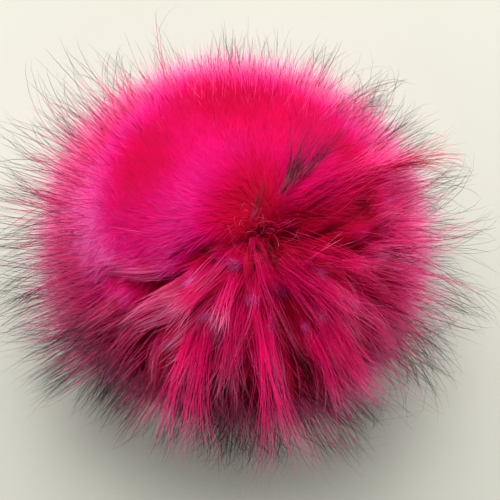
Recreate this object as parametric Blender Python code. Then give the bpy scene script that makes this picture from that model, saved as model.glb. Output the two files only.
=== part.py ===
"""A long-haired fur pom pom, 15 cm across its guard hairs, at rest on a table.

One round of fur pelt is gathered into a ball. The dense underfur is the ball itself, and the
longer hair stands out of it in tapering locks. The hair parts at a crown near the top. On one
side of it the ball is smooth velvet, and on the other the locks lie back. Round the sides they
stand out, and they spread level where they meet the table.

Metres, +Z up. The origin is the middle of the flat spot that the ball rests on.
"""

import math
import random

import bmesh
import bpy
from mathutils import Vector, kdtree, noise

# The underfur ball
BALL_RADIUS = 0.0565  # out to the ends of the dense underfur
BALL_HEIGHT = 0.1055  # from the table to the top of the underfur
CENTRE_HEIGHT = 0.052  # of the ball's widest section above the table
LUMP_SHARE = 0.03  # how far the underfur's lumps reach, as a share of the radius
LUMPS_PER_RADIUS = 2.2  # how fine the lumps are
COMBED_SINK = 0.07  # how much lower the underfur lies under the combed locks, as a share of the radius
CORE_SUBDIVISIONS = 4

# How full the ball is, by the level direction from its middle
GIRTH_BY_AZIMUTH = (
    # degrees, share of the ball's radius
    (-180, 0.99),
    (-150, 0.99),
    (-120, 0.92),
    (-85, 0.91),
    (-60, 0.97),
    (-30, 1.0),
    (30, 0.985),
    (60, 0.955),
    (90, 0.955),
    (120, 0.97),
    (150, 1.0),
    (180, 0.99),
)

# The crown, where the hair parts
CROWN_OFFSET = Vector((0.0085, 0.001))  # from the ball's axis, seen from above
CROWN_HOLLOWS = (
    # depth, half width in degrees, place from the ball's axis
    (0.0045, 9, (0.0085, 0.0015)),
    (0.0075, 8, (0.015, 0.0015)),
    (0.004, 7, (0.022, 0.0)),
)

# The locks of longer hair
LOCK_PLACES = 385  # spread over the whole ball, of which the smooth parts stay free
REACH_BY_RISE = (
    # height of the root's direction, from -1 under the ball to 1 over it, and the reach of the tips
    (-1, 0.077),
    (0.2, 0.077),
    (0.45, 0.067),
    (0.7, 0.0615),
    (1, 0.0605),
)
REACH_SPREAD = 0.075  # how uneven the tips are, as a share of their reach
LOCK_RINGS = ((0.28, 0.66), (0.56, 0.42), (0.8, 0.2))  # place along a lock, width as a share of its root
LINE_STEP = 0.02  # share of a lock over which its direction is taken
START_LEAN = 0.5  # how much of the hair's lean a lock has at its root
FLOOR_CLEARANCE = 0.0004  # under a lock that lies level on the table
LOWEST_ROOT = 0.0025  # of a lock's root above the table, so that two locks don't meet under the ball
NEAR_FACES = 12  # that a lock may grow from, nearest its place first
SEED = 7

# Where the ball stays smooth, without locks
VELVET_FROM_RISE = 0.42  # the velvet dome starts at this height of the direction
VELVET_COMBED = 0.42  # and takes in all that is less combed than this
CROWN_FREE_ANGLE = math.radians(24)  # the locks start this far from the crown

# How far the hair leans off the ball's surface, by its angle from the crown
LEAN_BY_ANGLE = (
    # angle from crown, lean away from it on the combed side, the same on the upright side
    (0, 62, 40),
    (30, 58, 30),
    (60, 42, 18),
    (90, 20, 6),
    (120, -8, -12),
    (150, -36, -38),
    (180, -55, -55),
)
COMBED_SIDE = Vector((0.45, -0.9)).normalized()  # the hair lies flattest this way from the crown

FUR_COLOUR = (0.79, 0.01, 0.14, 1.0)
FUR_ROUGHNESS = 0.75
SHARP_ANGLE = math.radians(50)
TINY = 1e-6  # below this a direction has no length


def clear_scene():
    """Removes the objects of the startup scene."""
    for obj in list(bpy.data.objects):
        bpy.data.objects.remove(obj)


def fur_material():
    """Dyed fur, hot pink."""
    material = bpy.data.materials.new("dyed_fur")
    material.use_nodes = True
    shader = material.node_tree.nodes["Principled BSDF"]
    shader.inputs["Base Color"].default_value = FUR_COLOUR
    shader.inputs["Roughness"].default_value = FUR_ROUGHNESS
    shader.inputs["Metallic"].default_value = 0.0
    return material


def read_table(table, at, column=1):
    """The value of one column of a table at a value of its first, read along straight lines."""
    for low, high in zip(table, table[1:]):
        if at <= high[0]:
            share = max((at - low[0]) / (high[0] - low[0]), 0.0)
            return low[column] + (high[column] - low[column]) * share
    return table[-1][column]


def direction_over(x, y):
    """The direction from the ball's middle to its surface over a place."""
    x, y = x / BALL_RADIUS, y / BALL_RADIUS
    return Vector((x, y, math.sqrt(1 - x * x - y * y)))


def crown_direction():
    """The direction of the crown from the ball's middle."""
    return direction_over(*CROWN_OFFSET)


def away_from_crown(direction):
    """The direction along the ball's surface that leads away from the crown."""
    crown = crown_direction()
    return direction * direction.dot(crown) - crown


def combed(direction):
    """How combed the coat is, from 0 for upright velvet to 1 for lying locks."""
    away = away_from_crown(direction)
    way = Vector((away.x, away.y))
    if way.length < TINY:
        return 0.5
    return 0.5 + 0.5 * way.normalized().dot(COMBED_SIDE)


def hollow(direction):
    """How far the coat sinks at the crown."""
    sunk = 0.0
    for depth, half_width, place in CROWN_HOLLOWS:
        off = math.degrees(direction.angle(direction_over(*place)))
        sunk += depth * math.exp(-((off / half_width) ** 2))
    return sunk


def ball_point(direction):
    """The point of the underfur's surface in a direction from the ball's middle."""
    lump = noise.noise(direction * LUMPS_PER_RADIUS) * LUMP_SHARE
    side_share = math.hypot(direction.x, direction.y)
    azimuth = math.degrees(math.atan2(direction.y, direction.x))
    girth = 1 + (read_table(GIRTH_BY_AZIMUTH, azimuth) - 1) * side_share
    # The sink fades out under the ball, where the flat spot is
    sink = COMBED_SINK * combed(direction) * min(1 + direction.z, 1)
    point = direction * (BALL_RADIUS * girth * (1 + lump - sink) - hollow(direction))
    if point.z > 0:
        point.z *= (BALL_HEIGHT - CENTRE_HEIGHT) / BALL_RADIUS
    point.z = max(point.z + CENTRE_HEIGHT, 0.0)
    return point


def hair_direction(direction):
    """The direction that the hair grows in, where the ball's surface faces this direction."""
    away = away_from_crown(direction)
    if away.length < TINY:
        return direction.copy()
    degrees = math.degrees(direction.angle(crown_direction()))
    lying = read_table(LEAN_BY_ANGLE, degrees, column=1)
    upright = read_table(LEAN_BY_ANGLE, degrees, column=2)
    lean = math.radians(upright + (lying - upright) * combed(direction))
    return direction * math.cos(lean) + away.normalized() * math.sin(lean)


def has_lock(direction):
    """Whether a lock grows here: not on the velvet dome, nor at the crown."""
    if direction.angle(crown_direction()) < CROWN_FREE_ANGLE:
        return False
    return direction.z < VELVET_FROM_RISE or combed(direction) > VELVET_COMBED


def even_directions(count):
    """Directions spread evenly over a sphere along a spiral, top first."""
    golden = math.pi * (3 - math.sqrt(5))
    for i in range(count):
        z = 1 - (2 * i + 1) / count
        ring = math.sqrt(1 - z * z)
        yield Vector((ring * math.cos(i * golden), ring * math.sin(i * golden), z))


def underfur_ball():
    """The lumpy ball of underfur with its flat spot, as a bmesh."""
    ball = bmesh.new()
    bmesh.ops.create_icosphere(ball, subdivisions=CORE_SUBDIVISIONS, radius=1.0)
    for vertex in ball.verts:
        vertex.co = ball_point(vertex.co.normalized())
    return ball


def lock_faces(ball):
    """The faces that the locks grow from, spread evenly over what isn't smooth, above the flat spot."""
    ball.faces.ensure_lookup_table()
    above = [f for f in ball.faces if min(v.co.z for v in f.verts) > LOWEST_ROOT]
    middle = Vector((0, 0, CENTRE_HEIGHT))
    directions = [(face.calc_center_median() - middle).normalized() for face in above]
    lowest = min(direction.z for direction in directions)
    tree = kdtree.KDTree(len(above))
    for i, direction in enumerate(directions):
        tree.insert(direction, i)
    tree.balance()
    taken = []
    for place in even_directions(LOCK_PLACES):
        if place.z < lowest or not has_lock(place):
            continue
        near = [i for _, i, _ in tree.find_n(place, NEAR_FACES)]
        taken.append(next(i for i in near if i not in taken))
    return [above[i] for i in taken]


def lock_line(root, direction, reach):
    """The middle line of a lock from its root, as a function of the share of its length.

    It leaves the ball near the surface's own direction and bends over to the hair's direction.
    """
    growth = hair_direction(direction)
    start = direction.lerp(growth, START_LEAN).normalized()
    arm = root - Vector((0, 0, CENTRE_HEIGHT))
    # The length that brings the tip to its reach from the ball's middle
    along = arm.dot(growth)
    length = -along + math.sqrt(along * along + reach * reach - arm.length_squared)

    def point(share):
        bent = start.lerp(growth, share)
        return root + bent * (length * share)

    return point


def set_ring(face, centre, along, root_offsets, root_normal, width):
    """Moves a lock's end face to its place, square to the lock, at a share of its root's width.

    A ring that would reach into the table is lifted, so that the lock levels out on it.
    """
    turn = root_normal.rotation_difference(along)
    corners = [centre + turn @ offset * width for offset in root_offsets]
    lowest = min(corner.z for corner in corners)
    lift = max(FLOOR_CLEARANCE - lowest, 0.0)
    for vertex, corner in zip(face.verts, corners):
        vertex.co = corner + Vector((0, 0, lift))


def grow_lock(ball, face, draw):
    """Extrudes one face of the ball into a curved, tapering lock with a pointed tip."""
    middle = Vector((0, 0, CENTRE_HEIGHT))
    root = face.calc_center_median()
    root_offsets = [v.co - root for v in face.verts]
    root_normal = face.normal.copy()
    direction = (root - middle).normalized()
    reach = read_table(REACH_BY_RISE, direction.z) * (1 - REACH_SPREAD * draw.random())
    line = lock_line(root, direction, reach)
    for share, width in LOCK_RINGS:
        face = bmesh.ops.extrude_discrete_faces(ball, faces=[face])["faces"][0]
        along = (line(share + LINE_STEP) - line(share - LINE_STEP)).normalized()
        set_ring(face, line(share), along, root_offsets, root_normal, width)
    face = bmesh.ops.extrude_discrete_faces(ball, faces=[face])["faces"][0]
    tip = line(1.0)
    tip.z = max(tip.z, FLOOR_CLEARANCE)
    bmesh.ops.pointmerge(ball, verts=list(face.verts), merge_co=tip)


def make_fur_ball(collection, material):
    """The pom pom: one ball of underfur with its locks of longer hair fused to it."""
    draw = random.Random(SEED)
    ball = underfur_ball()
    ball.normal_update()
    for face in lock_faces(ball):
        grow_lock(ball, face, draw)
    bmesh.ops.recalc_face_normals(ball, faces=ball.faces)
    mesh = bpy.data.meshes.new("fur_ball")
    ball.to_mesh(mesh)
    ball.free()
    mesh.shade_smooth()
    mesh.set_sharp_from_angle(angle=SHARP_ANGLE)
    mesh.materials.append(material)
    fur_ball = bpy.data.objects.new("fur_ball", mesh)
    collection.objects.link(fur_ball)
    return fur_ball


def main():
    """Builds the pom pom."""
    clear_scene()
    collection = bpy.data.collections.new("pom_pom")
    bpy.context.scene.collection.children.link(collection)
    make_fur_ball(collection, fur_material())


main()
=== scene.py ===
"""The looks of a long-haired fur pom pom, dyed hot pink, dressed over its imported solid.

One round of pelt is gathered into a ball. Dense underfur makes the ball. Silky over-hairs lie on it in
locks, and longer guard hairs with dark tips stand out past it. The hair parts at a crown near the top.

Metres, +Z up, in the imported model's frame. In the tables angles are degrees, and lengths millimetres.
"""

import logging
import math
from dataclasses import dataclass
from enum import Enum

import bmesh
import bpy
import numpy as np
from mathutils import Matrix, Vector


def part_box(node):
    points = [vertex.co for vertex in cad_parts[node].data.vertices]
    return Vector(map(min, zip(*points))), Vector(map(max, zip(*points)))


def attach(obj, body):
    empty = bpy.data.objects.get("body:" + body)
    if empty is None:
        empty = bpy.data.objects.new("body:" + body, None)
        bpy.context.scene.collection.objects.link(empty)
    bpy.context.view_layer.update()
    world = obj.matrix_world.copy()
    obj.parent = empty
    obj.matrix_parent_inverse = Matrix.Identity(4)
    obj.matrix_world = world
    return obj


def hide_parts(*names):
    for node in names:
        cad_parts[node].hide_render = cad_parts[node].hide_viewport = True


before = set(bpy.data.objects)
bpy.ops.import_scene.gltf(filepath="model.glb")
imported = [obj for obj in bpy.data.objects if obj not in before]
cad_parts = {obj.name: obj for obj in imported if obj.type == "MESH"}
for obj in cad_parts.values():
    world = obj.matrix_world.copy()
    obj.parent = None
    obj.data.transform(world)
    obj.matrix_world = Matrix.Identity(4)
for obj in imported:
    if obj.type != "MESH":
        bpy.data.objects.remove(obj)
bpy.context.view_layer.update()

LOG = logging.getLogger("pom_pom")
MM = 0.001
NODE = "fur_ball"
BODY = "root"
# The hair's tone holds painted shade and light as well as the dye's own random variation.
HAIR_MAP = "hair"  # across: the hair's tone, from deep to bright; up: the place along it
BAKE_MAP = "OFBake"  # the same places, kept for baking
STRIP = 0.0009  # width of one hair on those maps
LOOSE = 0.35  # how far single hairs are twisted off the coat's facing


class Section(Enum):
    """How many points go round a hair in its mesh."""

    FLAT = 2
    ROUND = 3


def linear(hex_colour: str) -> tuple[float, float, float, float]:
    """Turns an sRGB hex value into linear red, green, blue and alpha."""
    parts = [int(hex_colour[i : i + 2], 16) / 255 for i in (1, 3, 5)]
    red, green, blue = (c / 12.92 if c <= 0.04045 else ((c + 0.055) / 1.055) ** 2.4 for c in parts)
    return red, green, blue, 1.0


def unit(vectors: np.ndarray) -> np.ndarray:
    """Scales each vector of the last axis to length 1."""
    return vectors / np.maximum(np.linalg.norm(vectors, axis=-1, keepdims=True), 1e-12)


def read_off(table: tuple[tuple[float, ...], ...], value: np.ndarray, column: int = 1) -> np.ndarray:
    """Reads a column of a table off at values of its first one, blending between the rows.

    Args:
        table: The rows.
        value: Values of the first column.
        column: The place of the column that is read.

    Returns:
        What the column holds at each of the values.
    """
    columns = np.array(table).T
    return np.interp(value, columns[0], columns[column])


def add_node(
    tree: bpy.types.NodeTree,
    kind: str,
    inputs: dict[str | int, object] | None = None,
    stops: tuple[tuple[float, str], ...] = (),
    **settings: object,
) -> bpy.types.Node:
    """Adds a node with its settings and links.

    Args:
        tree: The node tree it goes in.
        kind: The node's type name.
        inputs: A value, or another node's output, for each input by its name or place.
        stops: For a colour ramp, each stop's place and sRGB hex colour.
        settings: The node's own settings.

    Returns:
        The new node.
    """
    node = tree.nodes.new(kind)
    for name, value in settings.items():
        setattr(node, name, value)
    for name, value in (inputs or {}).items():
        if isinstance(value, bpy.types.NodeSocket):
            tree.links.new(value, node.inputs[name])
        else:
            node.inputs[name].default_value = value
    for i, (place, colour) in enumerate(stops):
        elements = node.color_ramp.elements
        element = elements[i] if i < 2 else elements.new(place)
        element.position = place
        element.color = linear(colour)
    return node


@dataclass(frozen=True)
class Ball:
    """The round form that the pelt is gathered into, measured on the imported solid."""

    reach: float  # from the middle to the longest guard hairs at the sides
    height: float  # from the table to the tips over the crown
    underfur_share: float = 0.748  # of the reach that the dense underfur fills
    centre_share: float = 0.492  # of the height at which the ball is widest
    squash: float = 0.947  # of its upper half, under its own weight
    crown_x: float = 8.5 * MM
    crown_y: float = 1.0 * MM

    @classmethod
    def from_frame(cls, node: str) -> "Ball":
        """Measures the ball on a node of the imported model.

        Args:
            node: The node's name.

        Returns:
            The ball's form.
        """
        low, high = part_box(node)
        return cls(reach=(high.x - low.x) / 2, height=high.z - low.z)

    @property
    def radius(self) -> float:
        """The radius out to the ends of the dense underfur."""
        return self.reach * self.underfur_share

    @property
    def centre(self) -> np.ndarray:
        """The middle of the ball's widest level."""
        return np.array([0.0, 0.0, self.height * self.centre_share])

    @property
    def crown(self) -> np.ndarray:
        """The direction of the crown from the middle."""
        x, y = self.crown_x / self.radius, self.crown_y / self.radius
        return np.array([x, y, math.sqrt(1 - x * x - y * y)])


@dataclass
class Hairs:
    """A batch of hairs as they grow on the ball, with one row or value for each hair."""

    roots: np.ndarray  # directions from the ball's middle
    way: np.ndarray  # directions along the surface that they lie over to
    inner: np.ndarray  # how far out they start
    outer: np.ndarray  # how far out they end
    sweep: np.ndarray  # radians round the ball from root to tip
    curl: np.ndarray | float = 0.0  # radians that they turn sideways by the tip
    wave: np.ndarray | float = 0.0  # metres that they swing to each side
    swings: np.ndarray | float = 1.0  # number of waves from root to tip
    phase: np.ndarray | float = 0.0  # radians into the wave at the root


@dataclass(frozen=True)
class HairField:
    """The way that the coat grows, all over the ball."""

    ball: Ball
    # Angle from the crown, lean away from it on the combed side, the same on the upright side
    lean_table: tuple[tuple[float, float, float], ...] = (
        (0, 62, 40),
        (30, 58, 30),
        (60, 42, 18),
        (90, 20, 6),
        (120, -8, -12),
        (150, -36, -38),
        (180, -55, -55),
    )
    # Angle from the crown, tone of the coat in locks, the same of the velvet: deep at 0, bright at 1. These
    # tones are painted shade and light: deep in the hollow at the crown, bright at the velvet's rim, and
    # darker down the lower locks
    tone_and_shade_table: tuple[tuple[float, float, float], ...] = (
        (0, 0.08, 0.1),
        (7, 0.2, 0.42),
        (14, 0.58, 0.54),
        (28, 0.6, 0.36),
        (40, 0.42, 0.41),
        (54, 0.3, 0.66),
        (75, 0.25, 0.98),
        (110, 0.18, 1.0),
        (180, 0.1, 0.5),
    )
    # Direction round the crown, how much brighter the coat is there near the crown, the same further down.
    # Both are painted shade: in the parting right of the crown, and down the near side, which faces away
    # from the light
    side_shade_table: tuple[tuple[float, float, float], ...] = (
        (-180, 0.24, 0.2),
        (-110, 0.1, -0.04),
        (-80, 0.06, -0.3),
        (-45, 0.16, 0.26),
        (-15, -0.32, 0.34),
        (15, -0.3, 0.28),
        (45, 0.16, 0.12),
        (90, 0.1, -0.04),
        (130, 0.06, -0.02),
        (180, 0.24, 0.2),
    )
    # Direction round the ball, and how full the coat is there
    girth_table: tuple[tuple[float, float], ...] = (
        (-180, 0.99),
        (-150, 0.99),
        (-120, 0.915),
        (-85, 0.925),
        (-60, 1.0),
        (-30, 1.0),
        (30, 0.985),
        (60, 0.955),
        (90, 0.955),
        (120, 0.97),
        (150, 1.0),
        (180, 0.99),
    )
    # The band over which the side table's near painted shade and its far painted shade come in.
    near_band: tuple[float, ...] = (5, 15, 28, 42)  # near tone starts, is full, fades, far tone is full
    tone_drift: float = 0.08  # how uneven the coat's tone is
    combed_azimuth: float = -76.0  # the hair lies flattest this way from the crown
    lock_rise: float = 2.3  # how sharply the velvet gives way to locks
    lock_start: float = 0.85  # how far towards the combed side it does
    rise_power: float = 1.35  # how early a hair rises before it bends over
    bend_power: float = 1.25  # how late it bends
    swirl: float = 0.35  # radians that the coat's way drifts to each side
    drift_waves: int = 8  # that a drift is the sum of
    drift_spread: float = 2.8  # of their sum, which it is divided by
    floor_gap: float = 0.4 * MM
    floor_softness: float = 5.0 * MM
    # Depth, width in degrees, and place in millimetres from the ball's axis of each hollow at the crown
    hollows: tuple[tuple[float, float, float, float], ...] = (
        (4.5, 9.0, 8.5, 1.5),
        (7.5, 8.0, 15.0, 1.5),
        (4.0, 7.0, 22.0, 0.0),
    )
    root_sink: float = 0.8  # of the hollows' depth, that the hairs' roots sink by

    def tangents(self, roots: np.ndarray) -> tuple[np.ndarray, np.ndarray]:
        """Finds the two directions along the ball's surface at each root.

        Args:
            roots: Directions from the ball's middle.

        Returns:
            The directions away from the crown, and those square to them.
        """
        crown = self.ball.crown
        away = unit(roots * (roots @ crown)[:, None] - crown)
        return away, np.cross(roots, away)

    def azimuth(self, roots: np.ndarray) -> np.ndarray:
        """The direction from the crown's axis that each root lies in, as radians round the ball."""
        crown = self.ball.crown
        off_axis = roots - (roots @ crown)[:, None] * crown
        return np.arctan2(off_axis[:, 1], off_axis[:, 0])

    def combed(self, roots: np.ndarray) -> np.ndarray:
        """How combed the coat is at each root, from 0 for upright velvet to 1 for lying locks."""
        return 0.5 + 0.5 * np.cos(self.azimuth(roots) - math.radians(self.combed_azimuth))

    def locked(self, roots: np.ndarray) -> np.ndarray:
        """How far the coat falls into locks at each root, from 0 to 1."""
        return np.clip(self.combed(roots) * self.lock_rise - self.lock_start, 0.0, 1.0)

    def from_crown(self, roots: np.ndarray) -> np.ndarray:
        """Each root's angle from the crown, in degrees."""
        return np.degrees(np.arccos(np.clip(roots @ self.ball.crown, -1, 1)))

    def lean_angle(self, roots: np.ndarray) -> np.ndarray:
        """The coat's lean off the surface's own direction at each root, in radians."""
        angle = self.from_crown(roots)
        flat, upright = read_off(self.lean_table, angle), read_off(self.lean_table, angle, 2)
        return np.radians(upright + (flat - upright) * self.combed(roots))

    def girth(self, roots: np.ndarray) -> np.ndarray:
        """How full the coat is at each root, as a share of the ball's radius."""
        azimuth = np.degrees(np.arctan2(roots[:, 1], roots[:, 0]))
        return 1 + (read_off(self.girth_table, azimuth) - 1) * np.hypot(roots[:, 0], roots[:, 1])

    def tone(self, roots: np.ndarray) -> np.ndarray:
        """The coat's tone at each root: its random drift, with the painted shade and light of the tables."""
        angle = self.from_crown(roots)
        in_locks, velvet = read_off(self.tone_and_shade_table, angle), read_off(self.tone_and_shade_table, angle, 2)
        drift = self.tone_drift * self.drift(roots, seed=17, scale=3.5)
        return velvet + (in_locks - velvet) * self.locked(roots) + self.painted_side_shade(roots) + drift

    def painted_side_shade(self, roots: np.ndarray) -> np.ndarray:
        """How much brighter the coat is painted at each root for the side of the crown that it is on, as
        painted shade.
        """
        azimuth, angle = np.degrees(self.azimuth(roots)), self.from_crown(roots)
        near, far = read_off(self.side_shade_table, azimuth), read_off(self.side_shade_table, azimuth, 2)
        is_near = np.interp(angle, self.near_band, (0, 1, 1, 0))
        return near * is_near + far * np.interp(angle, self.near_band[2:], (0, 1))

    def drift(self, roots: np.ndarray, seed: int, scale: float) -> np.ndarray:
        """A smooth random value over the ball, mostly from -1 to 1.

        Args:
            roots: Directions from the ball's middle.
            seed: Picks the pattern.
            scale: How many swells there are to a radius.

        Returns:
            One value for each direction.
        """
        draw = np.random.default_rng(seed)
        count = self.drift_waves
        waves = unit(draw.normal(size=(count, 3))) * scale * draw.uniform(0.7, 1.5, (count, 1))
        phases = draw.uniform(0, 2 * math.pi, count)
        return np.sin(roots @ waves.T * math.pi + phases).sum(axis=1) / self.drift_spread

    def hollow(self, roots: np.ndarray) -> np.ndarray:
        """How far the coat sinks at the crown, in metres."""
        sunk = np.zeros(len(roots))
        for depth, width, x, y in self.hollows:
            level = np.array([x, y]) * MM / self.ball.radius
            at = np.array([*level, math.sqrt(1 - level @ level)])
            off = np.degrees(np.arccos(np.clip(roots @ at, -1, 1)))
            sunk += depth * MM * np.exp(-((off / width) ** 2))
        return sunk

    def settle(self, points: np.ndarray) -> np.ndarray:
        """Squashes the upper half and spreads what would reach into the table level on it."""
        centre = self.ball.centre
        settled = points.copy()
        height = settled[..., 2] - centre[2]
        settled[..., 2] = centre[2] + np.where(height > 0, height * self.ball.squash, height)
        soft = self.floor_softness
        over = settled[..., 2] - self.floor_gap
        pressed = soft * np.exp(np.minimum(over / soft, 1.0) - 1.0)
        settled[..., 2] = self.floor_gap + np.where(over > soft, over, pressed)
        return settled

    def lying(
        self,
        roots: np.ndarray,
        inner: np.ndarray,
        outer: np.ndarray,
        lean: np.ndarray,
        turn: np.ndarray,
        **more: object,
    ) -> Hairs:
        """Hairs that lie as the coat does.

        Args:
            roots: Directions from the ball's middle.
            inner: How far out each starts.
            outer: How far out each ends.
            lean: How much of the coat's lean each takes, 1 for all of it.
            turn: Radians off the way that leads from the crown, for each.
            more: The other values of the hairs.

        Returns:
            The hairs.
        """
        away, side = self.tangents(roots)
        turned = turn + self.swirl * self.drift(roots, seed=8, scale=3.0)
        way = away * np.cos(turned)[:, None] + side * np.sin(turned)[:, None]
        sweep = (outer - inner) / self.ball.radius * np.tan(self.lean_angle(roots)) * lean
        return Hairs(roots=roots, way=way, inner=inner, outer=outer, sweep=sweep, **more)

    def paths(self, hairs: Hairs, points: int) -> np.ndarray:
        """Works out the line of each hair.

        Args:
            hairs: The hairs.
            points: How many points each line has.

        Returns:
            The lines, as hairs by points by three.
        """
        share = np.linspace(0, 1, points)
        values = (hairs.sweep, hairs.curl, hairs.wave, hairs.swings, hairs.phase)
        columns = (np.broadcast_to(value, len(hairs.roots))[:, None] for value in values)
        sweep, curl, wave, swings, phase = columns
        side = np.cross(hairs.roots, hairs.way)[:, None]
        angle = (sweep * share**self.bend_power)[..., None]
        curled = (curl * share)[..., None]
        way = hairs.way[:, None] * np.cos(curled) + side * np.sin(curled)
        direction = hairs.roots[:, None] * np.cos(angle) + way * np.sin(angle)
        rise = (hairs.outer - hairs.inner)[:, None]
        radius = hairs.inner[:, None] + rise * (1 - (1 - share) ** self.rise_power)
        radius = radius * self.girth(hairs.roots)[:, None]
        swing = wave * share * np.sin(swings * share * 2 * math.pi + phase)
        lines = self.ball.centre + direction * radius[..., None] + side * swing[..., None]
        return self.settle(lines)


def scattered(draw: np.random.Generator, count: int) -> np.ndarray:
    """Directions spread evenly over a sphere at random."""
    return unit(draw.normal(size=(count, 3)))


def picked(draw: np.random.Generator, weights: np.ndarray, count: int) -> np.ndarray:
    """The places of a weighted choice of this many candidates, in their own order."""
    keys = draw.random(len(weights)) ** (1 / np.maximum(weights, 1e-9))
    return np.sort(np.argpartition(-keys, count)[:count])


def even_directions(count: int) -> np.ndarray:
    """Directions spread evenly over a sphere along a spiral, top first."""
    place = np.arange(count)
    z = 1 - (2 * place + 1) / count
    ring = np.sqrt(1 - z * z)
    turn = place * math.pi * (3 - math.sqrt(5))
    return np.stack([ring * np.cos(turn), ring * np.sin(turn), z], axis=1)


def nearest(directions: np.ndarray, guides: np.ndarray) -> np.ndarray:
    """The place of each direction's nearest guide."""
    parts = np.array_split(directions, max(len(directions) // 8000, 1))
    return np.concatenate([np.argmax(part @ guides.T, axis=1) for part in parts])


def gathered(paths: np.ndarray, guides: np.ndarray, pull: np.ndarray, power: float = 1.4) -> np.ndarray:
    """Draws hairs together into locks, more so towards their tips.

    Args:
        paths: The hairs' lines.
        guides: The line of each hair's own lock.
        pull: How far each tip is drawn to its lock's line, from 0 to 1.
        power: How late along the hair the draw comes.

    Returns:
        The new lines.
    """
    share = np.linspace(0, 1, paths.shape[1]) ** power
    return paths + (guides - paths) * (pull[:, None] * share)[..., None]


def shortened(lines: np.ndarray, lengths: np.ndarray) -> np.ndarray:
    """Cuts each line to a share of its length, and spreads its points evenly again.

    Args:
        lines: The lines, as hairs by points by three.
        lengths: The share of its length that each keeps.

    Returns:
        The shorter lines.
    """
    last = lines.shape[1] - 1
    place = np.linspace(0, last, last + 1) * lengths[:, None]
    before = np.clip(place.astype(int), 0, last - 1)
    part = (place - before)[..., None]
    row = np.arange(len(lines))[:, None]
    return lines[row, before] * (1 - part) + lines[row, before + 1] * part


def tapering(
    draw: np.random.Generator, middle: float, spread: tuple[float, float], taper: np.ndarray, count: int
) -> np.ndarray:
    """Draws the widths of hairs.

    Args:
        draw: The source of their random values.
        middle: Their usual width at the root.
        spread: The least and the most of it that a hair has.
        taper: What is left of a hair's width at each of its points but the last.
        count: The number of hairs.

    Returns:
        Each hair's width at each of those points.
    """
    return middle * draw.uniform(*spread, (count, 1)) * taper


def strand_faces(count: int, rings: int, section: Section) -> tuple[np.ndarray, np.ndarray]:
    """Lists the faces of many hairs: four-sided ones along each, and three-sided ones at its tip.

    Args:
        count: The number of hairs.
        rings: The number of rings of points that each has before its tip.
        section: Whether the hairs are flat or round.

    Returns:
        The point at each corner of each face, and the place in that list where each face starts.
    """
    sides = section.value
    faces_round = 1 if section is Section.FLAT else sides
    ring, side = np.meshgrid(np.arange(rings - 1), np.arange(faces_round), indexing="ij")
    here, after = (ring * sides + side).ravel(), (ring * sides + (side + 1) % sides).ravel()
    quads = np.stack([here, after, after + sides, here + sides], axis=1)
    tip, side = rings * sides, np.arange(faces_round)
    last = tip - sides
    ends = np.stack([last + side, last + (side + 1) % sides, np.full(faces_round, tip)], axis=1)
    firsts = (np.arange(count) * (tip + 1))[:, None, None]
    quads = (quads[None] + firsts).reshape(-1, 4)
    ends = (ends[None] + firsts).reshape(-1, 3)
    corners = np.concatenate([quads.ravel(), ends.ravel()])
    starts = np.concatenate([np.arange(len(quads)) * 4, quads.size + np.arange(len(ends)) * 3])
    return corners, starts


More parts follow.
